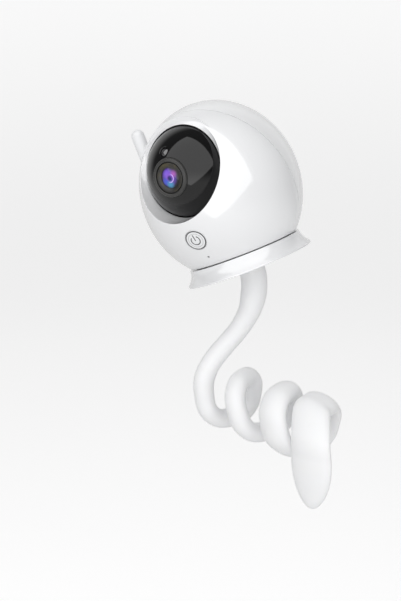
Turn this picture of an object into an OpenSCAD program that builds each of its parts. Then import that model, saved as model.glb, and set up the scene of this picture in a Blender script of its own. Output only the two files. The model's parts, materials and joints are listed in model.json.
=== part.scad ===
// Baby monitor camera: an egg-shaped pan and tilt head on a flared base,
// carried by a bendable arm that coils round a rail.
// Row frame: the rail runs along X through the middle of the coil, Z is up.
// Head frame: Z is the pan axis, the eye looks along -Y, origin at the middle of the egg.

/* [Head] */
// Radius of the egg at its widest
egg_r = 48; // [46:0.5:50]
// Half of the full height of the egg's ellipse
egg_h = 53; // [51:0.5:55]
// Wall of the moulded shells
wall = 2; // [1.6:0.1:2.4]
// Radius of the eyeball
ball_r = 28.2; // [27.8:0.1:28.4]
// Radius of the round lip that the eyeball sits behind
lip_r = 28.8; // [28.5:0.1:29.5]
// How far the lip's axis points up
lip_tilt = 9; // [5:1:12]
// How far the lens points up at rest
lens_tilt = 2; // [0:1:6]
// Radius of the power button's cap
button_r = 6.3; // [5.5:0.1:6.5]

/* [Base] */
// Outer radius of the base at the pan gap
base_top_r = 34.8; // [34:0.2:35.4]
// Outer radius of the flared rim
base_rim_r = 39; // [38:0.5:41]
// Height of the base
base_height = 9.3; // [9:0.1:10]

/* [Antenna] */
// Radius of the antenna's rod and of its half round tip
antenna_r = 4.2; // [3.6:0.1:4.6]
// Height of the antenna above its pivot
antenna_height = 55; // [40:1:60]

/* [Arm] */
// Distance along the rail from one turn to the next
coil_pitch = 28; // [27:0.5:30]
// Half width of the coil's centre line, across the rail
coil_a = 14.6; // [14.4:0.1:16]
// Half height of the coil's centre line
coil_b = 14.2; // [14:0.1:16]
// Radius of the bendable core wire
core_r = 2; // [1.5:0.1:2.2]

/* [Pose of the head] */
// How far the pan axis leans from upright
head_lean = 22.8; // [15:0.5:25]
// Turn of the head about the pan axis
head_yaw = 15.3; // [10:1:20]

/* [Hidden] */
$fn = 96;

// colours
white = [0.93, 0.93, 0.94];
black = [0.05, 0.05, 0.06];
steel = [0.72, 0.73, 0.75];
brass = [0.83, 0.68, 0.36];
green = [0.1, 0.35, 0.2];
amber = [0.9, 0.85, 0.7];

// levels in the head frame
head_bottom = -38;
pan_gap = 0.5;
base_top = head_bottom - pan_gap;
base_bottom = base_top - base_height;
deck = 1.6;
egg_steps = 28;
fit = 0.05;        // running and press clearance on a radius
screw_r = 1;

// eye
eye_y = -18.3;
eye_z = 15.5;
ball_wall = 1.8;
ball_split = -4;    // plane between the two halves of the eyeball
ball_back = 25;     // plane of the opening at the back of the eyeball
recess_r = 26;      // hole in the recess floor
recess_depth = 11.8; // middle of the recess floor, along the lip's axis from the ball's centre
recess_lean = 1.8;  // the floor leans back at the top, where the egg curves away
ball_gap = 0.35;    // room round the eyeball
recess_floor = 0.8;
recess_wall = 1.5;
lens_r = 11;        // outer radius of the lens bezel
window_angle = 32;  // sensor window above the lens
window_r = 2.5;
trunnion_r = 3.5;
trunnion_end = 35.4;

// parting plane of the shells: y = split_y at z = 0, leaning forward at the top
split_y = -2;
split_lean = 18;

// button and microphone, on the front at these heights
button_z = -21;
mic_z = -32.4;
mic_hole_r = 0.65;
button_travel = 0.8;
button_gap = 0.2;

// gears
gear_module = 0.8;
pressure_angle = 25;
backlash = 0.14;
pan_teeth = 36;
pinion_teeth = 14;
tilt_teeth = 80;
gear_slack = 0.05;
pan_distance = gear_module * (pan_teeth + pinion_teeth) / 2 + gear_slack;
tilt_distance = gear_module * (tilt_teeth + pinion_teeth) / 2 + gear_slack;
pan_motor_angle = 90;   // a whole number of the sun gear's teeth, so that they mesh
motor_r = 7.5;
motor_shaft_r = 1;

// antenna
antenna_angle = 166.2;
antenna_x = egg_r + antenna_r + 0.35;
antenna_pin_r = 2.5;
antenna_hub_r = 6;

// where the head stands in the row frame
head_place = [-50.5, 5.2, 125.6];
lean_heading = -152.6;

// the arm's route, from the base down to the rail, in the row frame
neck_route = [[-33.8, 14, 81], [-31.6, 14.6, 75.5], [-30.1, 14, 69.5], [-29.4, 12.4, 62.5],
    [-30, 9.6, 53.5], [-33, 4, 43], [-37.8, -3, 33], [-42.2, -9.8, 23], [-44.4, -14, 12]];
neck_half_w = [8.2, 8.1, 8, 7.9, 6.9, 6.2, 6.2, 6.3, 6.5];
pivot_step = 4;     // the neck bends at this point of the route
coil_from = 180;
coil_to = 1200;
coil_step = 30;
tail_route = [[41.8, -16.2, 2], [43.2, -16.8, -9], [43.8, -16.8, -19], [44, -16.6, -27],
    [44.1, -16.4, -33], [44.2, -16.2, -37], [44.2, -16.1, -38.2]];
tail_half_w = [11.6, 12.4, 11.9, 9.8, 6.9, 3.6, 1.2];
tail_half_t = [4.8, 4.6, 4.4, 4.0, 3.4, 2.2, 0.8];
tail_twist = -10;   // the last turn and the tail lean over this far
path_sub = 2;
sleeve_sides = 14;
core_sides = 8;

// ---------- helpers ----------

function unit(v) = v / norm(v);
function mix(a, b, t) = a + (b - a) * t;
function ease(t) = let (c = min(1, max(0, t))) c * c * (3 - 2 * c);

// half profile of an egg that is smaller by off all over, cut flat at height low
function egg_profile(off, low) =
    let (r = egg_r - off, h = egg_h - off, a0 = asin(low / h))
    concat([[0, low]], [for (i = [0 : egg_steps])
        let (a = mix(a0, 90, i / egg_steps)) [i == egg_steps ? 0 : r * cos(a), h * sin(a)]]);
module egg(off = 0, low = head_bottom) { rotate_extrude() polygon(egg_profile(off, low)); }

// depth of the egg's front at height z
function egg_front(z) = -egg_r * sqrt(1 - (z / egg_h) ^ 2);
// local -Y points out of the egg's front at height z
module on_front(z) {
    translate([0, egg_front(z), z])
        rotate([atan(-z / egg_h ^ 2 / (-egg_front(z) / egg_r ^ 2)), 0, 0]) children();
}
// the head's place in the row frame
module head_pose() {
    translate(head_place) rotate([0, 0, lean_heading]) rotate([0, head_lean, 0])
        rotate([0, 0, head_yaw - lean_heading]) children();
}
// the eyeball's frame: origin at its centre, lens along -Y
module eye_pose(tilt = lens_tilt) {
    head_pose() translate([0, eye_y, eye_z]) rotate([-tilt, 0, 0]) children();
}
// a cylinder along -Y from depth y0 to depth y1
module bar_y(r, y0, y1) { translate([0, -y0, 0]) rotate([90, 0, 0]) cylinder(r = r, h = y1 - y0); }
// a cylinder along X
module bar_x(r, x0, x1) { translate([x0, 0, 0]) rotate([0, 90, 0]) cylinder(r = r, h = x1 - x0); }
// everything behind the parting plane
module behind_split(gap = 0) {
    translate([0, split_y + gap, 0]) rotate([split_lean, 0, 0])
        translate([-100, 0, -100]) cube([200, 200, 200]);
}
// a countersunk screw pointing up, with its head at the origin
module screw(length, head_r = 1.9, head_h = 1.2) {
    cylinder(r = head_r, h = head_h, $fn = 32);
    cylinder(r = screw_r, h = length, $fn = 32);
}
module around(n, r, start = 0) {
    for (i = [0 : n - 1]) rotate([0, 0, start + i * 360 / n]) translate([r, 0, 0]) children();
}

// angle between an involute's start and its point at radius r, in degrees
function roll(rb, r) = let (a = acos(min(1, rb / r))) tan(a) * 180 / PI - a;
// outline of a spur gear's teeth from number first to number last
function tooth(n, i) =
    let (rp = gear_module * n / 2, rb = rp * cos(pressure_angle), ra = rp + 0.95 * gear_module,
        rf = rp - 1.2 * gear_module, low = max(rb, rf) + 0.01,
        half = (90 / n - backlash / 2 / rp * 90 / PI) + roll(rb, rp), mid = i * 360 / n,
        flank = [for (k = [0 : 3]) let (r = mix(low, ra, k / 3)) [r, half - roll(rb, r)]])
    concat([[rf * cos(mid - flank[0][1]), rf * sin(mid - flank[0][1])]],
        [for (k = [0 : 3]) let (f = flank[k]) f[0] * [cos(mid - f[1]), sin(mid - f[1])]],
        [for (k = [3 : -1 : 0]) let (f = flank[k]) f[0] * [cos(mid + f[1]), sin(mid + f[1])]],
        [[rf * cos(mid + flank[0][1]), rf * sin(mid + flank[0][1])]]);
module gear(n, thick, first = 0, last = -1, inner = 0) {
    stop = last < first ? n - 1 : last;
    teeth = [for (i = [first : stop]) for (p = tooth(n, i)) p];
    closing = inner == 0 ? [] : [for (i = [stop : -1 : first])
        inner * [cos(i * 360 / n), sin(i * 360 / n)]];
    linear_extrude(height = thick, center = true) polygon(concat(teeth, closing));
}

// ---------- the arm's sweep ----------

// a square with well rounded corners, as a direction from its middle
function squircle(a) = let (k = (abs(cos(a)) ^ 2.6 + abs(sin(a)) ^ 2.6) ^ (-1 / 2.6))
    [cos(a) * k, sin(a) * k];
// how far the hand-wound turns stray from an even helix, along the rail
function stray(a) = 1.2 * ease((620 - a) / 200) + 3.4 * ease(1 - abs(a - 425) / 150) + 2.4 * ease((a - 960) / 200);
function coil_point(a) = let (s = squircle(a))
    [coil_pitch * (a - 720) / 360 - stray(a), coil_a * s[0], coil_b * s[1]];
coil_angles = [for (a = [coil_from : coil_step : coil_to]) a];
route = concat(neck_route, [for (a = coil_angles) coil_point(a)], tail_route);
half_w = concat(neck_half_w, [for (a = coil_angles) 6.6 + 4.2 * ease((a - 640) / 400)], tail_half_w);
half_t = concat(neck_half_w, [for (a = coil_angles) 5.8 - 0.9 * ease((a - 700) / 500)], tail_half_t);
twist = concat([for (p = neck_route) 0], [for (a = coil_angles) tail_twist * ease((a - 1060) / 100)],
    [for (p = tail_route) tail_twist]);

// a smooth value between the second and third of four neighbours
function spline(list, i, t) =
    let (n = len(list) - 1, p0 = list[max(0, i - 1)], p1 = list[i], p2 = list[min(n, i + 1)],
        p3 = list[min(n, i + 2)])
    0.5 * (2 * p1 + (p2 - p0) * t + (2 * p0 - 5 * p1 + 4 * p2 - p3) * t ^ 2
        + (3 * p1 - p0 - 3 * p2 + p3) * t ^ 3);
function smooth(list) = concat([for (i = [0 : len(list) - 2]) for (k = [0 : path_sub - 1])
    spline(list, i, k / path_sub)], [list[len(list) - 1]]);
path = smooth(route);
path_w = smooth(half_w);
path_t = smooth(half_t);
path_twist = smooth(twist);
pivot_index = pivot_step * path_sub;
tail_index = len(path) - 1;
pivot = path[pivot_index];
pivot_way = unit(path[pivot_index + 1] - path[pivot_index - 1]);

// a ring of points round the path: an ellipse whose wide axis lies along the rail
function ring(i, sides, w, t) =
    let (way = unit(path[min(tail_index, i + 1)] - path[max(0, i - 1)]),
        flat = unit([1, 0, 0] - way[0] * way), up = cross(way, flat), turn = path_twist[i],
        wide = flat * cos(turn) + up * sin(turn), thin = up * cos(turn) - flat * sin(turn))
    [for (k = [0 : sides - 1]) let (a = k * 360 / sides) path[i] + wide * w * cos(a) + thin * t * sin(a)];
// a closed skin over a list of rings with the same number of points
module skin(rings, sides) {
    n = len(rings);
    sides_faces = [for (i = [0 : n - 2]) for (k = [0 : sides - 1])
        let (a = i * sides + k, b = i * sides + (k + 1) % sides)
        each [[a, b, b + sides], [a, b + sides, a + sides]]];
    far = (n - 1) * sides;
    ends = [for (k = [1 : sides - 2]) each [[0, k + 1, k], [far, far + k, far + k + 1]]];
    polyhedron(points = [for (g = rings) for (p = g) p], faces = concat(sides_faces, ends), convexity = 8);
}
// a closed tube from ring first to ring last, with the sleeve's section or a round one of radius r
module tube(first, last, sides, r = 0) {
    skin([for (i = [first : last]) ring(i, sides, r > 0 ? r : path_w[i], r > 0 ? r : path_t[i])], sides);
}
// local +Z points back up the neck at its bending point
module at_pivot() {
    w = -pivot_way;
    translate(pivot) rotate([0, acos(w[2]), atan2(w[1], w[0])]) children();
}

// ---------- arm ----------

core_first = pivot_index + 1;
core_last = tail_index - 6;
// the lower sleeve ends in a dome about the bending point: rings shrink like a sphere's
module arm_sleeve() {
    r = path_w[pivot_index];
    dome = [for (a = [90 : -15 : 15]) [for (k = [0 : sleeve_sides - 1])
        pivot - pivot_way * r * 0.93 * sin(a) + (ring(pivot_index, sleeve_sides, r, r)[k] - pivot) * max(0.02, cos(a))]];
    rings = concat(dome, [for (i = [pivot_index : tail_index]) ring(i, sleeve_sides, path_w[i], path_t[i])]);
    color(white) skin(rings, sleeve_sides);
}
module arm_core() { color(steel) tube(core_first, core_last, core_sides, core_r); }
module neck_sleeve() {
    color(white) difference() {
        tube(0, pivot_index, sleeve_sides);
        at_pivot() translate([-20, -20, -30 + path_w[pivot_index]]) cube([40, 40, 30]);
    }
}
module neck_core() {
    color(steel) difference() {
        tube(3, pivot_index, core_sides, core_r);
        at_pivot() translate([-20, -20, -30 + path_w[pivot_index] + 1]) cube([40, 40, 30]);
        head_pose() translate([0, 0, base_bottom - 9.4]) cylinder(r = 6, h = 14);
    }
}
module arm_ferrule() {
    color(steel) head_pose() {
        translate([0, 0, base_bottom - 9.2]) cylinder(r = 5, h = 8.9);
        translate([0, 0, base_bottom - 1]) cylinder(r = 3.1, h = 6.8);
    }
}
module arm_insert() {
    color(brass) head_pose() translate([0, 0, base_bottom + 0.5]) difference() {
        cylinder(r = 5, h = 5.6);
        translate([0, 0, -1]) cylinder(r = 3.1 + fit, h = 8);
    }
}

// ---------- base ----------

rim_edge = 0.9;
// outer side of the base: upright at the top, flaring out to the rim
function flare(off) = [for (i = [0 : 12]) let (t = i / 12)
    [mix(base_top_r, base_rim_r, t ^ 2.2) - off, mix(base_top, base_bottom + rim_edge, t)]];
module base_skirt() {
    inner = flare(wall);
    color(white) head_pose() difference() {
        union() {
            rotate_extrude() polygon(concat([[7.6, base_top - deck], [7.6, base_top]], flare(0),
                [[base_rim_r, base_bottom], [base_rim_r - wall, base_bottom]],
                [for (i = [12 : -1 : 3]) inner[i]], [[base_top_r - wall, base_top - deck]]));
            around(3, 24, 30) translate([0, 0, base_bottom + 2.3]) cylinder(r = 2.8, h = base_height - 3, $fn = 32);
        }
        around(3, 24, 30) translate([0, 0, base_bottom + 1]) cylinder(r = screw_r + fit, h = 6, $fn = 32);
        around(3, 12, 0) translate([0, 0, base_top - deck - 1]) cylinder(r = screw_r + fit, h = 4, $fn = 32);
    }
}
module base_plate() {
    color(white) head_pose() difference() {
        union() {
            translate([0, 0, base_bottom + 0.4]) cylinder(r = base_rim_r - wall - 1.6, h = 1.8);
            translate([0, 0, base_bottom + 0.4]) cylinder(r = 8, h = 5.4);
        }
        translate([0, 0, base_bottom - 1]) cylinder(r = 5 + fit, h = 9);
        around(3, 24, 30) translate([0, 0, base_bottom]) {
            cylinder(r = screw_r + fit, h = 4, $fn = 32);
            cylinder(r = 2.1, h = 1.6, $fn = 32);
        }
    }
}
module base_screws() {
    color(steel) head_pose() around(3, 24, 30) translate([0, 0, base_bottom + 0.5]) screw(5.5, 1.9, 1);
}
module pan_post() {
    color(steel) head_pose() difference() {
        union() {
            translate([0, 0, base_top - deck - 1.3]) cylinder(r = 15, h = 1.25);
            translate([0, 0, base_top - deck - 1.3]) cylinder(r = 7, h = 10.6);
        }
        translate([0, 0, base_top - 5]) cylinder(r = 4, h = 16);
        around(3, 12, 0) translate([0, 0, base_top - 5]) cylinder(r = screw_r + fit, h = 8, $fn = 32);
        translate([0, 0, head_bottom + 6.1]) difference() {
            cylinder(r = 8, h = 0.7);
            cylinder(r = 6.4, h = 0.7);
        }
    }
}
module post_screws() {
    color(steel) head_pose() around(3, 12, 0) translate([0, 0, base_top - deck - 2.4]) screw(3.9, 1.8, 1);
}
module pan_gear() {
    color(amber) head_pose() translate([0, 0, head_bottom + 4.3]) difference() {
        gear(pan_teeth, 3);
        cylinder(r = 7 + fit, h = 8, center = true);
    }
}
module retaining_ring() {
    color(steel) head_pose() translate([0, 0, head_bottom + 6.15]) difference() {
        cylinder(r = 9, h = 0.6);
        translate([0, 0, -1]) cylinder(r = 6.4 + fit, h = 3);
        translate([0, -2, -1]) cube([12, 4, 3]);
    }
}

// ---------- head ----------

table_top = head_bottom + 1.9;
boss_angles = [-125, -55, 40, 140];
motor_ear = 10;
module turntable() {
    color(white) head_pose() difference() {
        union() {
            translate([0, 0, head_bottom + 0.1]) cylinder(r = 30, h = 1.8);
            pan_motor_ears() translate([0, 0, table_top - 0.2]) cylinder(r = 2.4, h = 4.9, $fn = 32);
        }
        translate([0, 0, head_bottom - 1]) cylinder(r = 9 + fit, h = 5);
        for (a = boss_angles) rotate([0, 0, a]) translate([26.5, 0, head_bottom - 1]) {
            cylinder(r = screw_r + fit, h = 5, $fn = 32);
            cylinder(r = 2, h = 1.9, $fn = 32);
        }
        pan_motor_ears() translate([0, 0, head_bottom + 1]) cylinder(r = screw_r + fit, h = 8, $fn = 32);
    }
}
module pan_bush() {
    color(amber) head_pose() translate([0, 0, head_bottom + 0.1]) difference() {
        cylinder(r = 9, h = 2.4);
        translate([0, 0, -1]) cylinder(r = 7 + fit, h = 5);
    }
}
module turntable_screws() {
    color(steel) head_pose() for (a = boss_angles) rotate([0, 0, a])
        translate([26.5, 0, head_bottom + 0.15]) screw(5, 1.8, 0.7);
}
// bosses on the shells that the turntable screws go into
module shell_bosses() {
    for (a = boss_angles) rotate([0, 0, a]) intersection() {
        translate([26.5, 0, table_top + 0.05]) union() {
            cylinder(r = 2.6, h = 6, $fn = 32);
            translate([0, -0.8, 0]) cube([12, 1.6, 6]);
        }
        egg(wall / 2);
    }
}
module boss_holes() {
    for (a = boss_angles) rotate([0, 0, a]) translate([26.5, 0, head_bottom])
        cylinder(r = screw_r + fit, h = 6.5, $fn = 32);
}
module lip_pose() { translate([0, eye_y, eye_z]) rotate([-lip_tilt, 0, 0]) children(); }
// everything in front of the recess floor moved back by drop
module before_floor(drop = 0) {
    lip_pose() translate([0, drop - recess_depth, 0]) rotate([-recess_lean, 0, 0])
        translate([-40, -60, -40]) cube([80, 60, 80]);
}
module front_shell() {
    color(white) head_pose() difference() {
        union() {
            difference() { egg(); egg(wall, head_bottom - 1); }
            intersection() {
                egg(wall / 2);
                lip_pose() bar_y(lip_r + recess_wall, 5, 34);
                before_floor(recess_floor);
            }
            shell_bosses();
        }
        behind_split();
        intersection() {
            lip_pose() bar_y(lip_r, 5, 60);
            before_floor();
        }
        lip_pose() bar_y(recess_r, 5, 60);
        translate([0, eye_y, eye_z]) sphere(r = ball_r + ball_gap);
        boss_holes();
        on_front(button_z) bar_y(button_r + button_gap, -8, 8);
        on_front(mic_z) bar_y(mic_hole_r, -6, 6);
    }
}
grille_rows = [[0, 1], [2.8, 6], [5.6, 12]];
grille_z = -22;
module rear_shell() {
    color(white) head_pose() difference() {
        union() {
            difference() { egg(); egg(wall, head_bottom - 1); }
            shell_bosses();
        }
        difference() {
            translate([-60, -60, -60]) cube([120, 120, 120]);
            behind_split(0.1);
        }
        boss_holes();
        translate([-5, 40, -8.3]) cube([10, 10, 4.6]);
        translate([0, 50, grille_z]) rotate([90, 0, 0])
            for (row = grille_rows) around(row[1], row[0]) cylinder(r = 0.8, h = 20, $fn = 24);
        rotate([0, 0, antenna_angle]) bar_x(antenna_pin_r + fit, 40, 52);
    }
}
// a yoke round the eyeball that carries its two trunnions
module tilt_frame() {
    color(black) head_pose() difference() {
        intersection() {
            translate([0, eye_y, eye_z]) bar_y(38, -5.6, 5.6);
            egg(wall + 0.3);
        }
        translate([0, eye_y, eye_z]) {
            sphere(r = ball_r + 0.9);
            bar_x(trunnion_r + fit, -45, 45);
            translate([-2.6, -10, -gear_module * tilt_teeth / 2 - 1.4]) cube([5.2, 20, 12]);   // the gear passes here
            translate([-50, -10, 14]) cube([100, 20, 40]);
        }
    }
}
module motor(length) {
    cylinder(r = motor_r, h = length);
    hull() pan_ear_pair() cylinder(r = 2.4, h = 1, $fn = 32);
}
module pan_ear_pair() { for (s = [-1, 1]) translate([s * motor_ear, 0, 0]) children(); }
module pan_motor_ears() {
    rotate([0, 0, pan_motor_angle]) translate([pan_distance, 0, 0]) rotate([0, 0, 90]) pan_ear_pair() children();
}
module pan_motor() {
    color(steel) head_pose() difference() {
        rotate([0, 0, pan_motor_angle]) translate([pan_distance, 0, table_top + 4.8]) rotate([0, 0, 90]) motor(12);
        rotate([0, 0, pan_motor_angle]) translate([pan_distance, 0, table_top])
            cylinder(r = motor_shaft_r + fit, h = 13, $fn = 32);
        pan_motor_ears() translate([0, 0, table_top]) cylinder(r = screw_r + fit, h = 8, $fn = 32);
    }
}
module pan_motor_screws() {
    color(steel) head_pose() pan_motor_ears() translate([0, 0, table_top + 7]) rotate([180, 0, 0]) screw(5.5, 1.8, 1.1);
}
module pan_pinion() {
    color(amber) head_pose() rotate([0, 0, pan_motor_angle]) translate([pan_distance, 0, 0]) {
        translate([0, 0, head_bottom + 4.3]) rotate([0, 0, 180 / pinion_teeth]) gear(pinion_teeth, 3.2);
        translate([0, 0, head_bottom + 5]) cylinder(r = motor_shaft_r, h = 9, $fn = 32);
    }
}
tilt_motor_x = 5;
module tilt_motor() {
    color(steel) head_pose() translate([0, eye_y + tilt_distance, eye_z]) difference() {
        union() {
            bar_x(motor_r, tilt_motor_x, tilt_motor_x + 12);
            bar_x(2.5, tilt_motor_x - 1.2, tilt_motor_x + 1);
        }
        bar_x(motor_shaft_r + fit, 0, 14);
    }
}
module tilt_pinion() {
    color(amber) head_pose() translate([0, eye_y + tilt_distance, eye_z]) {
        rotate([90, 0, 90]) rotate([0, 0, 180 / pinion_teeth]) gear(pinion_teeth, 4);
        bar_x(motor_shaft_r, 1, 12);
    }
}
board_y = 33;
module main_board() {
    color(green) head_pose() {
        translate([-19, board_y, -11]) cube([38, 1.6, 33]);
        translate([-9, board_y - 2.2, 4]) cube([18, 2.3, 14]);
        translate([7, board_y - 3, -8]) cube([9, 3.1, 6]);
        translate([-16, board_y - 3, -8]) cube([11, 3.1, 6]);
        translate([-16, board_y + 1.5, 12]) cube([10, 1.8, 6]);
    }
}
module power_socket() {
    color(steel) head_pose() difference() {
        translate([-4.6, board_y + 1.65, -7.9]) cube([9.2, 11, 3.8]);
        translate([-4.1, board_y + 4.5, -7.4]) cube([8.2, 10, 2.8]);
    }
}
module speaker() {
    color(black) head_pose() translate([0, 34.5, grille_z]) rotate([90, 0, 0]) difference() {
        union() {
            cylinder(r = 10, h = 2);
            cylinder(r = 6.5, h = 5);
        }
        translate([0, 0, -1]) cylinder(r1 = 8.6, r2 = 3, h = 2.4);
    }
}
module button_board() {
    color(green) head_pose() on_front(button_z) intersection() {
        bar_y(9.5, -9, -7.8);
        translate([-12, 0, -8.4]) cube([24, 20, 13.9]);
    }
}
module button_switch() {
    color(black) head_pose() on_front(button_z) {
        translate([-2.2, 5.5, -2.2]) cube([4.4, 2.25, 4.4]);
        bar_y(1.2, -5.6, -4.8);
    }
}
module microphone() { color(steel) head_pose() on_front(mic_z) bar_y(2, -5.2, -3.4); }
module power_button() {
    color(white) head_pose() on_front(button_z) {
        bar_y(button_r, -3.1, 0.05);
        bar_y(button_r + 1, -3.9, -3.05);
    }
}
module antenna() {
    color(white) head_pose() rotate([0, 0, antenna_angle]) {
        translate([antenna_x, 0, 0]) cylinder(r = antenna_r, h = antenna_height - antenna_r);
        translate([antenna_x, 0, antenna_height - antenna_r]) sphere(r = antenna_r);
        bar_x(antenna_hub_r, 48.6, antenna_x + antenna_r + 0.4);
        bar_x(antenna_pin_r, 43.6, 48.8);
    }
}
module antenna_clip() {
    color(steel) head_pose() rotate([0, 0, antenna_angle]) difference() {
        bar_x(4.6, 44.2, 44.9);
        bar_x(antenna_pin_r + fit, 40, 50);
    }
}

// ---------- eyeball ----------

module window_pose() { rotate([-window_angle, 0, 0]) children(); }
module ball_shell() {
    difference() {
        sphere(r = ball_r);
        sphere(r = ball_r - ball_wall);
    }
}
module eye_front() {
    color(black) eye_pose() difference() {
        ball_shell();
        translate([-40, ball_split, -40]) cube([80, 80, 80]);
        bar_y(lens_r + fit, 10, 40);
        window_pose() bar_y(window_r + fit, 20, 40);
    }
}
module eye_rear() {
    color(black) eye_pose() {
        difference() {
            sphere(r = ball_r);
            sphere(r = ball_r - ball_wall);
            translate([-40, ball_split + 0.1 - 80, -40]) cube([80, 80, 80]);
            translate([-40, ball_back, -40]) cube([80, 80, 80]);
            bar_x(trunnion_r, -40, 40);
        }
        for (s = [-1, 1]) rotate([0, 0, 90 - 90 * s]) bar_x(trunnion_r, ball_r - ball_wall, trunnion_end);
    }
}
module lens_bezel() {
    color(black) eye_pose() rotate([90, 0, 0]) rotate_extrude() polygon([[8.6, 18], [lens_r, 18],
        [lens_r, 27.2], [10.4, 27.8], [9.4, 27.6], [8.6, 26.4]]);
}
module lens_barrel() {
    color(steel) eye_pose() difference() {
        bar_y(8.6 - fit, 4, 25);
        bar_y(6.6, 20, 30);
        bar_y(5.2, 6, 30);
    }
}
module lens_glass() {
    color(black) eye_pose() intersection() {
        bar_y(6.6 - fit, 20.1, 40);
        translate([0, -12.2, 0]) sphere(r = 12.4);
    }
}
module sensor_window() { color(black) eye_pose() window_pose() bar_y(window_r, ball_r - 2.2, ball_r - 0.3); }
module image_board() {
    color(green) eye_pose() {
        translate([-10, -3.9, -10]) cube([20, 1.2, 20]);
        translate([-3, -2.8, -6]) cube([6, 2.4, 4]);
    }
}
module tilt_gear() {
    color(amber) eye_pose(0) rotate([90, 0, 90]) gear(tilt_teeth, 3, -11, 11, ball_r + fit);
}

arm_sleeve();
arm_core();
neck_sleeve();
neck_core();
arm_ferrule();
arm_insert();
base_skirt();
base_plate();
base_screws();
pan_post();
post_screws();
pan_gear();
retaining_ring();
turntable();
pan_bush();
turntable_screws();
front_shell();
rear_shell();
tilt_frame();
pan_motor();
pan_motor_screws();
tilt_motor();
main_board();
power_socket();
speaker();
button_board();
button_switch();
microphone();
antenna_clip();
pan_pinion();
eye_front();
eye_rear();
lens_bezel();
lens_barrel();
lens_glass();
sensor_window();
image_board();
tilt_gear();
tilt_pinion();
antenna();
power_button();
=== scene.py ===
import json
import math

import bpy
import numpy as np
from mathutils import Matrix, Vector


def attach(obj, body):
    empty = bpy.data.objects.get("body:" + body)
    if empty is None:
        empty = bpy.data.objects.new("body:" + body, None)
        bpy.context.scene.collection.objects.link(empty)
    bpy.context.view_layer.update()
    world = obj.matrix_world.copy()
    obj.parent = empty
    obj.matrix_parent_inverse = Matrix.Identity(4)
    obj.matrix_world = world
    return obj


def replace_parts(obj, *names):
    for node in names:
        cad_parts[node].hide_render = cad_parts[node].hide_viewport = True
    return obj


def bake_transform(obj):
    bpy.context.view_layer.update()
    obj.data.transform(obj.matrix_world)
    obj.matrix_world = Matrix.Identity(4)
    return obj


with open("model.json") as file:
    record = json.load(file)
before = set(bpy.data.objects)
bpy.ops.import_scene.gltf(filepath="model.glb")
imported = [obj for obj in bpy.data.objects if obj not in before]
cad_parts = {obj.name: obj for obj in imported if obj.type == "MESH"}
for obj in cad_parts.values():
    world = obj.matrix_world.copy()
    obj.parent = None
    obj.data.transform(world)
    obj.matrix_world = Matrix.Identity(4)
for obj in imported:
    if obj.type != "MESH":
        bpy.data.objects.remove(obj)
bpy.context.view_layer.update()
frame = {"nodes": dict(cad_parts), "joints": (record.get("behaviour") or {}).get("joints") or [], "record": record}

MM = 0.001

# ---------------------------------------------------------------- driving sizes, in millimetres

EGG_R, EGG_H = 48.0, 53.0          # egg: radius at its widest, half height of its ellipse
WALL = 2.0
HEAD_BOTTOM = -38.0                # level of the pan gap, from the middle of the egg
PAN_GAP = 0.5
BASE_TOP_R, BASE_RIM_R, BASE_HEIGHT = 34.8, 39.0, 9.3
BASE_DECK, BASE_HOLE_R, BASE_EDGE = 1.6, 7.6, 0.9  # its deck, the hole for the post, the rim's height
BALL_CENTRE = np.array([0.0, -18.3, 15.5])
BALL_R, BALL_WALL, BALL_GAP = 28.2, 1.8, 0.35
LIP_R, LIP_TILT = 28.8, 9.0        # round lip of the eye opening, and how far its axis points up
RECESS_R, RECESS_DEPTH = 26.0, 12.6
RECESS_FLOOR, RECESS_BOW = 0.8, 0.35  # thickness of its floor, and how far its wall bows outwards
LIP_WALL, SHELF_WALL = 1.5, 1.2    # walls behind the lip and round the edge of the recess floor
LENS_TILT = 2.0
LENS_R, GLASS_R, GLASS_TOP = 11.0, 5.66, 27.3
SPLIT_Y, SPLIT_LEAN = -2.0, 18.0   # parting plane of the two shells
PARTING = 0.2                      # open line between the shells
BUTTON_Z, BUTTON_R, BUTTON_GAP = -21.0, 6.3, 0.2
BUTTON_DEPTH = 3.0
DARK_RING_R, PALE_RING_R, SIGN_R = 5.85, 4.35, 2.7  # the button's printed rings and its power sign
SIGN_HALF, INK_LIFT, INK_ROOT = 0.26, 0.04, 0.05    # half width, height over the cap, depth into it
MIC_Z, MIC_R = -32.4, 0.65
GRILLE_Z, GRILLE_HOLE_R = -22.0, 0.8
GRILLE_RINGS = ((1, 0.0), (6, 2.8), (12, 5.6))  # holes in each ring, and the ring's radius
INLET_Z, INLET_HALF_W, INLET_HALF_H = -6.0, 5.0, 2.3
WINDOW_ANGLE, WINDOW_R = 32.0, 2.5
ANTENNA_ANGLE, ANTENNA_R, ANTENNA_TOP = 166.2, 4.2, 55.0
ANTENNA_X = EGG_R + ANTENNA_R + 0.35
ANTENNA_FOOT = -1.0                # level of the rod's lower end
HUB_R, HUB_START = 6.0, 48.6       # the pivot's hub
PIN_R, PIN_START = 2.5, 43.6       # and its pin, whose distances are from the egg's middle
COIL_PITCH, COIL_A, COIL_B = 28.0, 14.6, 14.2
SHELL_AROUND = 512                 # points round each shell
VIEW_TURN, VIEW_DOWN = 47.0, 15.0  # the camera's heading and how far it looks down, in degrees
CAMERA_PLACE, CAMERA_LENS = (0.3073, -0.345, 0.1915), 50.3
FLOOR_Z, FLOOR_R, FLOOR_BEND = -0.75, 2.6, 1.4  # stage, in metres: level, flat part, and its upward bend
WORLD_BRIGHT, WORLD_DIM, WORLD_SEEN = 0.72, 0.12, 0.85

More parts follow.
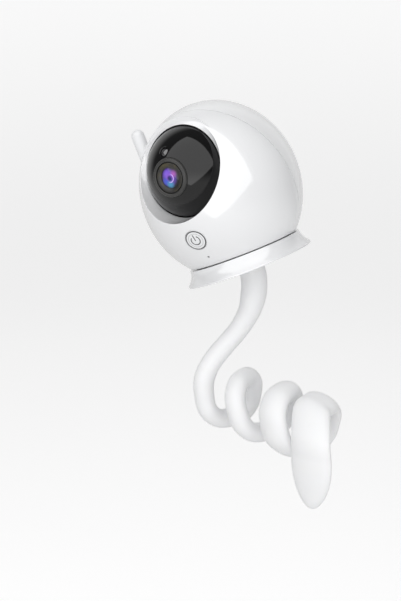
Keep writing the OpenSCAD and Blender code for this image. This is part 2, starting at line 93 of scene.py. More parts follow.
# ---------------------------------------------------------------- frames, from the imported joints

JOINTS = {j["name"]: j for j in frame["joints"]}
HEAD_Z = np.array(JOINTS["pan"]["axis"])
HEAD_X = -np.array(JOINTS["tilt"]["axis"])
HEAD_AXES = np.stack([HEAD_X, np.cross(HEAD_Z, HEAD_X), HEAD_Z])
HEAD_ORIGIN = np.array(JOINTS["pan"]["pos_m"]) - HEAD_BOTTOM * MM * HEAD_Z


def in_head(points):
    """Millimetres in the head's own frame to metres in the shared frame."""
    return np.asarray(points, float) @ HEAD_AXES * MM + HEAD_ORIGIN


def turned(points, axis, degrees):
    """Points turned about x, y or z through the origin."""
    return np.asarray(points, float) @ np.array(Matrix.Rotation(math.radians(degrees), 3, axis)).T


def from_lip(points):
    """The frame of the eye opening, its axis along -Y, to the head's frame."""
    return turned(points, "X", -LIP_TILT) + BALL_CENTRE


def from_eye(points):
    """The eyeball's frame, its lens along -Y, to the head's frame."""
    return turned(points, "X", -LENS_TILT) + BALL_CENTRE


def egg_front(z):
    """Depth of the egg's front at height z: -R sqrt(1 - (z / H)^2)."""
    return -EGG_R * math.sqrt(1 - (z / EGG_H) ** 2)


def on_front(points, z):
    """A frame on the egg's front at height z, its -Y pointing straight out, to the head's frame."""
    slope = math.degrees(math.atan2(-z / EGG_H ** 2, -egg_front(z) / EGG_R ** 2))
    return turned(points, "X", slope) + np.array([0.0, egg_front(z), z])


def around_y(radius, depth, count):
    """Circles about the -Y axis: one row for each radius and depth, count points round each."""
    a = np.linspace(0, 2 * math.pi, count, endpoint=False)
    r, d = np.asarray(radius, float)[:, None], np.asarray(depth, float)[:, None]
    return np.stack([r * np.cos(a), -d + 0 * a, r * np.sin(a)], -1)


# ---------------------------------------------------------------- meshes from grids of points


def surface(name, points, material, loop=False, caps=(False, False), sharp=40.0):
    """A closed skin over a grid of points: each row is a ring, loop joins the last ring to the first,
    and a cap closes an end ring with a fan to its middle. Faces are turned to point outwards."""
    rows, cols = points.shape[:2]
    flat = points.reshape(-1, 3)
    i = np.arange(rows if loop else rows - 1)[:, None]
    j = np.arange(cols)[None, :]
    i2, j2 = (i + 1) % rows, (j + 1) % cols
    quads = np.stack(np.broadcast_arrays(i * cols + j, i * cols + j2, i2 * cols + j2, i2 * cols + j), -1)
    quads = quads.reshape(-1, 4)
    fans = []
    ring = np.arange(cols)
    for on, start, way in ((caps[0], 0, -1), (caps[1], (rows - 1) * cols, 1)):
        if on:
            middle = len(flat)
            flat = np.vstack([flat, flat[start:start + cols].mean(0)])
            a, b = start + ring, start + np.roll(ring, -1)
            a, b = (a, b) if way > 0 else (b, a)
            fans.append(np.stack([a, b, np.full(cols, middle)], -1))
    tris = np.vstack(fans) if fans else np.zeros((0, 3), int)
    corners = [flat[quads[:, [0, 1, 2]]], flat[quads[:, [0, 2, 3]]], flat[tris]]
    volume = sum(np.einsum("ij,ij->", np.cross(c[:, 0], c[:, 1]), c[:, 2]) for c in corners)
    if volume < 0:
        quads, tris = quads[:, ::-1], tris[:, ::-1]
    mesh = bpy.data.meshes.new(name)
    mesh.vertices.add(len(flat))
    mesh.vertices.foreach_set("co", flat.astype(np.float32).ravel())
    mesh.loops.add(quads.size + tris.size)
    mesh.loops.foreach_set("vertex_index", np.concatenate([quads.ravel(), tris.ravel()]).astype(np.int32))
    mesh.polygons.add(len(quads) + len(tris))
    starts = np.concatenate([np.arange(len(quads)) * 4, quads.size + np.arange(len(tris)) * 3])
    mesh.polygons.foreach_set("loop_start", starts.astype(np.int32))
    mesh.update(calc_edges=True)
    mesh.validate()
    mesh.polygons.foreach_set("use_smooth", np.ones(len(mesh.polygons), bool))
    mesh.set_sharp_from_angle(angle=math.radians(sharp))
    piece = bpy.data.objects.new(name, mesh)
    bpy.context.scene.collection.objects.link(piece)
    mesh.materials.append(material)
    return piece


def rounded(corners, radius, steps=5):
    """An outline whose corners, all but the first and last, are rounded: each is replaced by a
    quadratic curve that starts and ends at its radius, or half its shorter side, from the corner."""
    p = np.asarray(corners, float)
    r = np.broadcast_to(np.asarray(radius, float), (len(p),))
    out = [p[:1]]
    t = np.linspace(0, 1, steps)[:, None]
    for k in range(1, len(p) - 1):
        a, b = p[k - 1] - p[k], p[k + 1] - p[k]
        la, lb = np.linalg.norm(a), np.linalg.norm(b)
        cut = min(r[k], la * 0.48, lb * 0.48)
        start, end = p[k] + a / la * cut, p[k] + b / lb * cut
        out.append((1 - t) ** 2 * start + 2 * t * (1 - t) * p[k] + t ** 2 * end)
    out.append(p[-1:])
    return np.vstack(out)


def lathe(outline, count=128):
    """An outline of (radius, depth) turned about the -Y axis."""
    p = np.asarray(outline, float)
    return around_y(p[:, 0], p[:, 1], count)


def lathe_up(outline, count=160):
    """An outline of (radius, height) turned about the Z axis."""
    p = np.asarray(outline, float)
    a = np.linspace(0, 2 * math.pi, count, endpoint=False)
    return np.stack([p[:, :1] * np.cos(a), p[:, :1] * np.sin(a), p[:, 1:] + 0 * a], -1)


def cut(piece, *cutters):
    """Takes the cutters' shapes out of the piece for good."""
    for cutter in cutters:
        step = piece.modifiers.new("cut", "BOOLEAN")
        step.operation, step.solver, step.object = "DIFFERENCE", "EXACT", cutter
    result = bpy.data.meshes.new_from_object(piece.evaluated_get(bpy.context.evaluated_depsgraph_get()))
    piece.modifiers.clear()
    old, piece.data = piece.data, result
    bpy.data.meshes.remove(old)
    result.polygons.foreach_set("use_smooth", np.ones(len(result.polygons), bool))
    result.set_sharp_from_angle(angle=math.radians(28))
    for cutter in cutters:
        bpy.data.objects.remove(cutter)


# ---------------------------------------------------------------- finishes


class Value:
    """A socket of a material's node, so that sums of numbers read as ordinary sums."""

    def __init__(self, finish, socket):
        self.finish, self.socket = finish, socket

    def _sum(self, operation, a, b):
        """One Math node of two numbers or Values."""
        return self.finish.add("ShaderNodeMath", {"operation": operation}, {0: a, 1: b})

    def __add__(self, other):
        return self._sum("ADD", self, other)

    def __radd__(self, other):
        return self._sum("ADD", other, self)

    def __sub__(self, other):
        return self._sum("SUBTRACT", self, other)

    def __rsub__(self, other):
        return self._sum("SUBTRACT", other, self)

    def __mul__(self, other):
        return self._sum("MULTIPLY", self, other)

    def __rmul__(self, other):
        return self._sum("MULTIPLY", other, self)

    def __pow__(self, other):
        return self._sum("POWER", self, other)


class Finish:
    """One material: a Principled shader whose sockets take numbers, colours or Values."""

    def __init__(self, name):
        self.material = bpy.data.materials.new(name)
        self.material.use_nodes = True
        self.tree = self.material.node_tree
        self.shader = self.tree.nodes["Principled BSDF"]

    def _fill(self, node, sockets):
        """Links a Value to its socket, and sets anything else on the socket itself."""
        for key, value in sockets.items():
            if isinstance(value, Value):
                self.tree.links.new(value.socket, node.inputs[key])
            else:
                node.inputs[key].default_value = value

    def add(self, kind, settings, sockets, output=0):
        """One node: its settings first, with a ramp's stops among them, then its sockets."""
        node = self.tree.nodes.new(kind)
        for key, value in settings.items():
            if key == "stops":
                stops = node.color_ramp.elements
                while len(stops) < len(value):
                    stops.new(0.5)
                for stop, (place, colour) in zip(stops, value):
                    stop.position, stop.color = place, (*colour, 1) if len(colour) == 3 else colour
            else:
                setattr(node, key, value)
        self._fill(node, sockets)
        return Value(self, node.outputs[output])

    def place(self, scale=(1, 1, 1), turn=(0, 0, 0)):
        """Coordinates of a pattern on the object's own, turned and scaled."""
        base = self.add("ShaderNodeTexCoord", {}, {}, "Object")
        return self.add("ShaderNodeMapping", {}, {"Vector": base, "Rotation": turn, "Scale": scale})

    def noise(self, scale, detail=3.0, roughness=0.5, vector=None):
        """Soft random values of 0 to 1, with about scale lumps to the metre."""
        vector = vector or self.place()
        return self.add("ShaderNodeTexNoise", {}, {"Vector": vector, "Scale": scale, "Detail": detail,
                                                   "Roughness": roughness})

    def ramp(self, value, stops):
        """A colour that runs through the stops, each a place from 0 to 1 and a colour."""
        return self.add("ShaderNodeValToRGB", {"stops": stops}, {"Fac": value})

    def mix(self, factor, a, b):
        """Colour a where the factor is 0, going to colour b where it is 1."""
        a, b = [c if isinstance(c, Value) else (*c, 1) for c in (a, b)]
        return self.add("ShaderNodeMix", {"data_type": "RGBA"}, {0: factor, 6: a, 7: b}, 2)

    def step(self, value, start, end, low=0.0, high=1.0):
        """From low to high, smoothly, as the value goes from start to end."""
        return self.add("ShaderNodeMapRange", {"interpolation_type": "SMOOTHSTEP"},
                        {"Value": value, "From Min": start, "From Max": end, "To Min": low, "To Max": high})

    def along(self, vector, axis):
        """How far a vector goes along an axis: their dot product."""
        return self.add("ShaderNodeVectorMath", {"operation": "DOT_PRODUCT"}, {0: vector, 1: axis}, "Value")

    def larger(self, a, b):
        """The larger of two values."""
        return self.add("ShaderNodeMath", {"operation": "MAXIMUM"}, {0: a, 1: b})

    def bump(self, height, distance):
        """A normal tilted by a height of 0 to 1 times the distance, in metres."""
        return self.add("ShaderNodeBump", {}, {"Height": height, "Distance": distance})

    def set(self, **sockets):
        """Fills the shader's sockets, named with _ for a space, and gives the finished material."""
        self._fill(self.shader, {k.replace("_", " "): v for k, v in sockets.items()})
        return self.material


def moulded_plastic(name, colour, shade, rough, grain, coat=0.0, scale=900.0, coat_ior=1.5):
    """Moulded plastic: faint clouding of the colour, a fine grain, and roughness that wanders a little."""
    f = Finish(name)
    cloud = f.noise(28.0, 2.0)
    fine = f.noise(scale, 2.0, 0.6)
    smear = f.noise(70.0, 3.0)
    return f.set(Base_Color=f.mix(cloud, colour, shade), Roughness=rough + (smear - 0.5) * rough * 0.5,
                 Normal=f.bump(fine, grain), Coat_Weight=coat, Coat_Roughness=0.05, Coat_IOR=coat_ior,
                 IOR=1.5)


def silicone():
    """Soft matt silicone: fine velvety grain, a faint bloom and slightly darker, dustier patches."""
    f = Finish("white silicone")
    cloud = f.noise(35.0, 3.0)
    dust = f.noise(160.0, 5.0, 0.65)
    grain = f.noise(2600.0, 3.0, 0.6)
    orange = f.noise(420.0, 2.0)
    colour = f.mix(cloud, (0.9, 0.903, 0.91), (0.87, 0.873, 0.882))
    colour = f.mix(f.ramp(dust, [(0.6, (0, 0, 0)), (0.85, (0.16, 0.16, 0.16))]), colour, (0.7, 0.7, 0.7))
    return f.set(Base_Color=colour, Roughness=0.5 + (dust - 0.5) * 0.2,
                 Normal=f.bump(grain * 0.5 + orange * 0.5, 0.00003), Subsurface_Weight=0.12,
                 Subsurface_Radius=(0.004, 0.004, 0.0035), Subsurface_Scale=0.5,
                 Sheen_Weight=0.12, Sheen_Roughness=0.4, IOR=1.42)


def metal(name, colour, rough, brushed=(40, 40, 1500)):
    """Plain metal with fine lines from its making and a little dulling."""
    f = Finish(name)
    lines = f.noise(1.0, 3.0, 0.6, f.place(scale=brushed))
    dull = f.noise(120.0, 3.0)
    return f.set(Base_Color=f.mix(dull, colour, tuple(c * 0.82 for c in colour)), Metallic=1.0,
                 Roughness=rough + (lines - 0.5) * 0.16, Normal=f.bump(lines, 0.00002))


def circuit_board():
    """Green solder mask with paler copper tracks under it and small bright pads."""
    f = Finish("solder mask")
    cells = f.add("ShaderNodeTexVoronoi", {"feature": "F1", "distance": "CHEBYCHEV"},
                  {"Vector": f.place(), "Scale": 420.0})
    tracks = f.add("ShaderNodeTexWave", {"wave_profile": "SAW"}, {"Vector": f.place(turn=(0, 0, 0.6)),
                                                                   "Scale": 260.0, "Distortion": 3.0})
    track = f.ramp(tracks, [(0.55, (0, 0, 0)), (0.62, (1, 1, 1))])
    pad = f.ramp(cells, [(0.1, (1, 1, 1)), (0.14, (0, 0, 0))])
    colour = f.mix(track, (0.012, 0.09, 0.045), (0.03, 0.16, 0.075))
    colour = f.mix(pad, colour, (0.75, 0.62, 0.32))
    return f.set(Base_Color=colour, Roughness=0.32 + track * 0.1, Metallic=pad * 0.9,
                 Normal=f.bump(track, 0.00003))


def dark_gloss(name, colour, rough, ior=1.52):
    """Polished black plastic: deep gloss, with the faintest waviness and a few fine dust specks."""
    f = Finish(name)
    wave = f.noise(60.0, 1.0)
    speck = f.ramp(f.noise(900.0, 4.0, 0.7), [(0.74, (0, 0, 0)), (0.8, (1, 1, 1))])
    return f.set(Base_Color=f.mix(speck * 0.35, colour, (0.05, 0.05, 0.052)),
                 Roughness=rough + speck * 0.05 + wave * 0.02, Normal=f.bump(wave, 0.000004),
                 IOR=ior)


WHITE_GLOSS = moulded_plastic("white gloss", (0.87, 0.875, 0.885), (0.845, 0.85, 0.862), 0.2, 0.000002,
                              1.0, 500.0, 1.75)
WHITE_BASE = moulded_plastic("white gloss base", (0.84, 0.845, 0.856), (0.81, 0.816, 0.83), 0.16, 0.000002,
                             1.0, 500.0, 1.75)
WHITE_SATIN = moulded_plastic("white satin", (0.85, 0.855, 0.865), (0.82, 0.826, 0.838), 0.32, 0.00001, 0.1)
WHITE_INNER = moulded_plastic("white unpolished", (0.74, 0.745, 0.755), (0.68, 0.685, 0.7), 0.5, 0.00003)
BLACK_MATT = moulded_plastic("black textured", (0.02, 0.02, 0.022), (0.03, 0.03, 0.032), 0.5, 0.00003)
LENS_RING = moulded_plastic("lens ring black", (0.034, 0.034, 0.034), (0.045, 0.044, 0.042), 0.3, 0.00001)
LENS_EDGE = moulded_plastic("lens edge black", (0.004, 0.004, 0.004), (0.008, 0.008, 0.008), 0.4, 0.00001)
INK = moulded_plastic("dark ink", (0.03, 0.03, 0.032), (0.045, 0.045, 0.047), 0.4, 0.00001)
PALE_INK = moulded_plastic("grey ink", (0.4, 0.4, 0.41), (0.45, 0.45, 0.46), 0.4, 0.00001)
GEAR = moulded_plastic("acetal", (0.78, 0.73, 0.58), (0.7, 0.65, 0.5), 0.4, 0.00002)
EYE_GLOSS = dark_gloss("eye gloss", (0.004, 0.004, 0.0042), 0.05)
SENSOR = dark_gloss("sensor window", (0.004, 0.004, 0.005), 0.03, 2.4)
SILICONE = silicone()
STEEL = metal("steel", (0.62, 0.63, 0.65), 0.3)
BRASS = metal("brass", (0.72, 0.52, 0.22), 0.28)
BOARD = circuit_board()


def node_finish():
    """Each CAD node takes the finish of its record slot."""
    finishes = {"arm_silicone": SILICONE, "steel": STEEL, "brass": BRASS, "white_gloss": WHITE_GLOSS,
                "white_satin": WHITE_SATIN, "white_inner": WHITE_INNER, "gear_plastic": GEAR,
                "black_matte": BLACK_MATT, "eye_gloss": EYE_GLOSS, "lens_ring": LENS_RING,
                "lens_glass": SENSOR, "sensor_glass": SENSOR, "circuit_board": BOARD}
    for part in frame["record"]["subparts"]:
        data = frame["nodes"][part["node"]].data
        data.materials.clear()
        data.materials.append(finishes[part["material_slot"]])


node_finish()


# ---------------------------------------------------------------- head shells


def ellipsoid(directions, off):
    """Points of the egg, made smaller by off, in unit-sphere directions."""
    return directions * np.array([EGG_R - off, EGG_R - off, EGG_H - off])


def arcs(pole, count):
    """Two unit vectors square to pole for count headings round it: d = cos(a) e1 + sin(a) e2."""
    e1 = np.cross(pole, [1.0, 0, 0])
    e1 /= np.linalg.norm(e1)
    e2 = np.cross(pole, e1)
    a = np.linspace(0, 2 * math.pi, count, endpoint=False)[:, None]
    return np.cos(a) * e1 + np.sin(a) * e2


def reach(pole, heads, off, outside, far=math.pi * 0.98):
    """For each heading, how far along the great circle from the pole the egg's surface goes before
    outside(point) turns positive, found by halving."""
    low, high = np.zeros(len(heads)), np.full(len(heads), far)
    for _ in range(46):
        mid = (low + high) / 2
        p = ellipsoid(np.cos(mid)[:, None] * pole + np.sin(mid)[:, None] * heads, off)
        out = outside(p) > 0
        high, low = np.where(out, mid, high), np.where(out, low, mid)
    return (low + high) / 2


def walk(pole, heads, off, start, end, spread):
    """Rows of points on the egg from angle start to angle end along every heading."""
    s = start + (end - start) * np.asarray(spread)[:, None]
    return ellipsoid(np.cos(s)[..., None] * pole + np.sin(s)[..., None] * heads, off)


def behind_split(p):
    """Positive behind the parting plane."""
    lean = math.radians(SPLIT_LEAN)
    return (p[:, 1] - SPLIT_Y) * math.cos(lean) + p[:, 2] * math.sin(lean)


def below_gap(p):
    """Positive below the pan gap."""
    return HEAD_BOTTOM - p[:, 2]


def round_off(a, corner, b, radius, steps=4):
    """Rows that round the corner between rows a and b."""
    u = a - corner
    v = b - corner
    u *= (radius / np.maximum(np.linalg.norm(u, axis=1), 1e-9))[:, None]
    v *= (radius / np.maximum(np.linalg.norm(v, axis=1), 1e-9))[:, None]
    t = np.linspace(0, 1, steps)[:, None, None]
    return (1 - t) ** 2 * (corner + u) + 2 * t * (1 - t) * corner + t ** 2 * (corner + v)


def front_shell():
    """A ring-shaped skin round the eye opening. From the lip it follows great circles of the egg to
    the parting plane or the pan gap, turns in, comes back under the surface, and returns by the
    recess: a funnel from the recess floor's circle up to the lip."""
    axis_point = from_lip([[0.0, -1.0, 0.0]])[0] - BALL_CENTRE
    scale = np.array([EGG_R, EGG_R, EGG_H])
    a, b = axis_point / scale, BALL_CENTRE / scale
    qa, qb, qc = a @ a, 2 * a @ b, b @ b - 1
    pole = (BALL_CENTRE + axis_point * (-qb + math.sqrt(qb * qb - 4 * qa * qc)) / (2 * qa)) / scale
    heads = arcs(pole, SHELL_AROUND)

    def off_axis(radius):
        """Positive further than the radius from the axis of the eye opening."""
        def outside(p):
            q = p - BALL_CENTRE
            return np.linalg.norm(q - (q @ axis_point)[:, None] * axis_point, axis=1) - radius
        return outside

    def edge(p):
        return np.maximum(behind_split(p) + PARTING / 2, below_gap(p))

    lip = reach(pole, heads, 0, off_axis(LIP_R), 1.4)
    end = reach(pole, heads, 0, edge)
    lip_in = reach(pole, heads, WALL, off_axis(LIP_R + LIP_WALL), 1.4)
    end_in = reach(pole, heads, WALL, edge)
    even = np.linspace(0, 1, 60)
    outer = walk(pole, heads, 0, lip, end, np.concatenate([[0.004, 0.01], even[1:-1], [0.99, 0.996]]))
    inner = walk(pole, heads, WALL, end_in, lip_in, np.linspace(0.01, 1, 24))
    far = np.linalg.norm(inner - BALL_CENTRE, axis=-1, keepdims=True)
    inner = BALL_CENTRE + (inner - BALL_CENTRE) * np.maximum(1, (BALL_R + BALL_GAP) / far)
    lip_at = walk(pole, heads, 0, lip, end, [0.0])[0]
    end_at = walk(pole, heads, 0, lip, end, [1.0])[0]
    q = lip_at - BALL_CENTRE
    spoke = q - (q @ axis_point)[:, None] * axis_point
    spoke /= np.linalg.norm(spoke, axis=1)[:, None]
    floor = BALL_CENTRE + axis_point * RECESS_DEPTH + spoke * RECESS_R
    under = floor - axis_point * RECESS_FLOOR
    shelf = BALL_CENTRE + axis_point * (RECESS_DEPTH - RECESS_FLOOR) + spoke * (LIP_R + SHELF_WALL)
    t = np.linspace(0.06, 0.9, 14)[:, None, None]
    hollow = np.sin(t * math.pi) * RECESS_BOW
    wall_rows = floor * (1 - t) + lip_at * t + spoke * hollow
    rows = np.concatenate([
        round_off(wall_rows[-1], lip_at.copy(), outer[1], 0.32, 6), outer[2:-2],
        round_off(outer[-3], end_at.copy(), inner[0], 0.3, 5), inner, shelf[None], under[None],
        round_off(under, floor.copy(), wall_rows[0], 0.2, 4), wall_rows])
    piece = surface("shell_front", in_head(rows), WHITE_GLOSS, loop=True)
    hole_r = BUTTON_R + BUTTON_GAP
    hole = in_head(on_front(lathe([(hole_r, -6), (hole_r, 4)], 96), BUTTON_Z))
    mic = in_head(on_front(lathe([(MIC_R, -5), (MIC_R, 3)], 32), MIC_Z))
    cut(piece, surface("hole", hole, WHITE_GLOSS, caps=(True, True)),
        surface("hole_small", mic, WHITE_GLOSS, caps=(True, True)))
    return piece


def rear_shell():
    """A cup-shaped skin: great circles of the egg from its back to the parting plane or the pan gap,
    round the edge, and back along the inside."""
    pole = np.array([0.0, 1.0, 0.0])
    heads = arcs(pole, SHELL_AROUND)

    def edge(p):
        return np.maximum(PARTING / 2 - behind_split(p), below_gap(p))

    end = reach(pole, heads, 0, edge)
    end_in = reach(pole, heads, WALL, edge)
    outer = walk(pole, heads, 0, 0 * end, end, np.linspace(0.006, 0.992, 72))
    inner = walk(pole, heads, WALL, end_in, 0 * end, np.linspace(0.01, 0.99, 30))
    corner = walk(pole, heads, 0, 0 * end, end, [1.0])[0]
    rows = np.concatenate([outer, round_off(outer[-1], corner, inner[0], 0.3, 5), inner])
    piece = surface("shell_rear", in_head(rows), WHITE_GLOSS, caps=(True, True))
    cutters = []
    for number, spread in GRILLE_RINGS:
        for k in range(number):
            a = 2 * math.pi * k / number
            hole = lathe([(GRILLE_HOLE_R, -60), (GRILLE_HOLE_R, -30)], 20)
            hole = hole + [spread * math.cos(a), 0, GRILLE_Z + spread * math.sin(a)]
            cutters.append(surface("hole", in_head(hole), WHITE_GLOSS, caps=(True, True)))
    inlet = slot_prism(INLET_HALF_W, INLET_HALF_H, 40, 52) + [0, 0, INLET_Z]
    cutters.append(surface("slot", in_head(inlet), WHITE_GLOSS, caps=(True, True)))
    cut(piece, *cutters)
    return piece


def slot_prism(half_w, half_h, y0, y1, corner=1.2, steps=8):
    """A block along Y with rounded corners: four quarter circles joined by straight sides."""
    a = np.concatenate([np.linspace(0, 90, steps) + 90 * k for k in range(4)])
    a = np.radians(a)
    sx = np.repeat([1, -1, -1, 1], steps) * (half_w - corner)
    sz = np.repeat([1, 1, -1, -1], steps) * (half_h - corner)
    x, z = sx + corner * np.cos(a), sz + corner * np.sin(a)
    return np.stack([np.stack([x, np.full_like(x, y), z], -1) for y in (y0, y1)])


def base_skirt():
    """The flared base: upright at the pan gap, r = top + (rim - top) t^2.2 down to a thin rim edge,
    then inwards and up under the deck, all turned about the pan axis."""
    top = HEAD_BOTTOM - PAN_GAP
    bottom = top - BASE_HEIGHT
    t = np.linspace(0, 1, 28)
    flare_r = BASE_TOP_R + (BASE_RIM_R - BASE_TOP_R) * t ** 2.2
    flare_z = top + (bottom + BASE_EDGE - top) * t
    outside = np.stack([flare_r, flare_z], -1)
    inside = np.stack([flare_r - WALL, flare_z], -1)[6:][::-1]
    deck = top - BASE_DECK
    outline = np.vstack([[(20.0, deck), (BASE_HOLE_R, deck), (BASE_HOLE_R, top), (20.0, top)],
                         rounded([(33.0, top), (BASE_TOP_R, top), outside[1]], 0.45, 6)[1:-1], outside[1:-1],
                         rounded([outside[-2], (BASE_RIM_R, bottom + BASE_EDGE), (BASE_RIM_R, bottom),
                                  (BASE_RIM_R - WALL, bottom)], [0, 0.12, 0.25, 0], 5)[1:],
                         inside[1:], [(BASE_TOP_R - WALL, deck)]])
    return surface("base_flare", in_head(lathe_up(outline, 224)), WHITE_BASE, loop=True, sharp=30)


SHELL_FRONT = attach(front_shell(), "head")
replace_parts(SHELL_FRONT, "front_shell")
SHELL_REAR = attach(rear_shell(), "head")
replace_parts(SHELL_REAR, "rear_shell")
BASE_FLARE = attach(base_skirt(), "neck")
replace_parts(BASE_FLARE, "base_skirt")


# ---------------------------------------------------------------- eyeball and lens


def ball_cup(name, first, last, material):
    """Part of the eyeball from angle first to angle last off the lens axis: outside, edge, inside and
    edge again, as one outline of (R sin s, R cos s) turned about the axis."""
    s = np.radians(np.linspace(first, last, 90))
    outside = np.stack([BALL_R * np.sin(s), BALL_R * np.cos(s)], -1)
    inner_r = BALL_R - BALL_WALL
    inside = np.stack([inner_r * np.sin(s), inner_r * np.cos(s)], -1)[::-1]
    back = rounded([outside[-2], outside[-1], inside[0], inside[1]], 0.2, 5)[1:-1]
    front = rounded([inside[-2], inside[-1], outside[0], outside[1]], 0.25, 5)[1:-1]
    outline = np.vstack([outside[1:-1], back, inside[1:-1], front])
    return surface(name, in_head(from_eye(lathe(outline, 224))), material, loop=True, sharp=50)


def part_of_ball(y):
    """Angle off the lens axis of the eyeball's circle at depth y: acos(-y / R)."""
    return math.degrees(math.acos(-y / BALL_R))


def lens_pieces():
    """Turned pieces of the lens, each an outline of (radius, depth along the lens axis). The rim has
    fine steps on its sloping face."""
    steps = np.array([(10.6, 27.2), (10.3, 27.42), (10.1, 27.4), (9.9, 27.55), (9.65, 27.52), (9.45, 27.62),
                      (9.2, 27.6)])
    back, front = [(8.85, 22.0), (LENS_R, 22.0), (LENS_R, 26.5)], [(8.85, 27.45), (8.85, 22.0)]
    rim = rounded(np.vstack([back, steps, front]), [0, 0.3, 0.3] + [0.08] * len(steps) + [0.15, 0], 4)[:-1]
    line = rounded([(8.3, 22.0), (8.82, 22.0), (8.82, 26.5), (8.3, 26.5), (8.3, 22.0)], 0.1, 4)[:-1]
    cone = rounded([(5.7, 20.0), (8.28, 20.0), (8.28, 27.2), (8.0, 27.35), (7.0, 27.2), (6.2, 26.9),
                    (5.7, 26.6), (5.7, 20.0)], [0, 0.2, 0.1, 0.3, 0.3, 0.3, 0.1, 0], 5)[:-1]
    return rim, line, cone


def lens_painted_reflection():
    """The front element with its coating's reflections painted into its colour: painted reflections of violet at
    the top, blue and cyan low on the left, magenta on the right, round a dark pupil with a painted highlight arc,
    all placed about the lens axis. The painted colours also glow faintly."""
    f = Finish("lens painted reflection")
    centre = in_head(from_eye([[0, -GLASS_TOP, 0]]))[0]
    up = (in_head(from_eye([[0, 0, 1]])) - in_head(from_eye([[0, 0, 0]])))[0] / MM
    base = f.add("ShaderNodeTexCoord", {}, {}, "Object")
    local = f.add("ShaderNodeVectorMath", {"operation": "SUBTRACT"}, {0: base, 1: tuple(centre)})

    x, y = [f.along(local, tuple(float(v) / MM for v in axis)) for axis in (HEAD_AXES[0], up)]

    def off(cx, cy):
        """Millimetres from a point beside the lens axis."""
        return ((x - cx) * (x - cx) + (y - cy) * (y - cy)) ** 0.5

    def spot(cx, cy, size, core=0.0):
        """1 inside the spot's core, falling to 0 at its edge."""
        return 1 - f.step(off(cx, cy), size * core, size)

    # painted reflections: each spot paints one reflected colour of the coating
    colour = f.mix(spot(-0.3, 0, 5.5, 0.65), (0.012, 0.01, 0.016), (0.08, 0.045, 0.26))
    colour = f.mix(spot(-0.8, 2.6, 3.9, 0.15), colour, (0.19, 0.1, 0.58))
    colour = f.mix(spot(-3.0, -1.2, 3.2, 0.1), colour, (0.045, 0.08, 0.5))
    colour = f.mix(spot(-1.0, -3.5, 3.2, 0.1), colour, (0.05, 0.24, 0.42))
    colour = f.mix(spot(3.0, 1.2, 2.9), colour, (0.3, 0.06, 0.34))
    colour = f.mix(spot(0.0, 0.6, 3.1, 0.3), colour, (0.2, 0.09, 0.5))
    colour = f.mix(spot(0.0, -0.2, 2.0, 0.35), colour, (0.04, 0.02, 0.16))
    colour = f.mix(spot(0.2, -0.8, 1.1, 0.3), colour, (0.004, 0.03, 0.11))
    # painted highlight: a bright arc round the pupil
    ring = f.add("ShaderNodeMath", {"operation": "ABSOLUTE"}, {0: off(0.1, -0.3) - 2.3})
    painted_highlight_arc = (1 - f.step(ring, 0.0, 0.45)) * f.step(x * 0.8 - y * 0.5, -0.7, 1.8)
    colour = f.mix(painted_highlight_arc, colour, (0.55, 0.38, 0.85))
    wave = f.noise(90.0, 1.0)
    # the painted reflection colours glow faintly as emission, though the glass is no lamp
    return f.set(Base_Color=colour, Roughness=0.06 + wave * 0.03, Emission_Color=colour,
                 Emission_Strength=0.25, IOR=1.5, Normal=f.bump(wave, 0.000003))


def gold_black():
    """The black cone round the glass, with a faint gold and green bloom of the coating on it."""
    f = Finish("lens cone")
    bloom = f.noise(240.0, 2.0)
    fine = f.noise(1500.0, 2.0)
    bright = f.ramp(bloom, [(0.45, (0, 0, 0)), (0.7, (1, 1, 1))])
    colour = f.mix(bright, (0.022, 0.021, 0.021), (0.06, 0.05, 0.022))
    return f.set(Base_Color=colour, Roughness=0.33 + (bloom - 0.5) * 0.1, Normal=f.bump(fine, 0.00001))


def build_eye():
    """The eyeball's front with the sensor window in its well, the lens pieces, and the domed front glass,
    whose depth falls with the square of the radius."""
    split = part_of_ball(-4.0)
    hole = math.degrees(math.asin(LENS_R / BALL_R))
    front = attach(ball_cup("eye_dome", hole + 0.1, split, EYE_GLOSS), "eye")
    well = [(0.02, BALL_R - 1.1), (2.75, BALL_R - 1.1), (2.75, BALL_R - 0.5), (3.5, BALL_R + 0.25),
            (0.02, BALL_R + 1)]
    well = turned(lathe(well, 96), "X", -WINDOW_ANGLE)
    cut(front, surface("well", in_head(from_eye(well)), EYE_GLOSS, caps=(True, True)))
    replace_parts(front, "eye_front")
    rim, line, cone = lens_pieces()
    for name, outline, material in (("lens_rim", rim, LENS_RING), ("lens_line", line, LENS_EDGE),
                                    ("lens_cone", cone, gold_black())):
        piece = surface(name, in_head(from_eye(lathe(outline, 160))), material, loop=True, sharp=35)
        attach(piece, "eye")
        if name == "lens_rim":
            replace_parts(piece, "lens_bezel")
    s = np.linspace(0.02, 1, 26)
    dome = np.stack([GLASS_R * s, GLASS_TOP - 0.9 * s ** 2], -1)
    outline = np.vstack([dome, [(GLASS_R, 21.0), (0.1, 21.0)]])
    glass = surface("lens_front", in_head(from_eye(lathe(outline, 128))), lens_painted_reflection(),
                    caps=(True, True), sharp=50)
    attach(glass, "eye")
    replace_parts(glass, "lens_glass")
    s = np.linspace(0.02, 1, 16)
    top = np.stack([WINDOW_R * s, BALL_R - 0.05 - 1.0 * s ** 2], -1)
    outline = np.vstack([top, [(WINDOW_R, BALL_R - 1.6), (0.05, BALL_R - 1.6)]])
    window = turned(lathe(outline, 64), "X", -WINDOW_ANGLE)
    window = surface("sensor_dome", in_head(from_eye(window)), SENSOR, caps=(True, True), sharp=50)
    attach(window, "eye")
    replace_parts(window, "sensor_window")


build_eye()


# ---------------------------------------------------------------- button


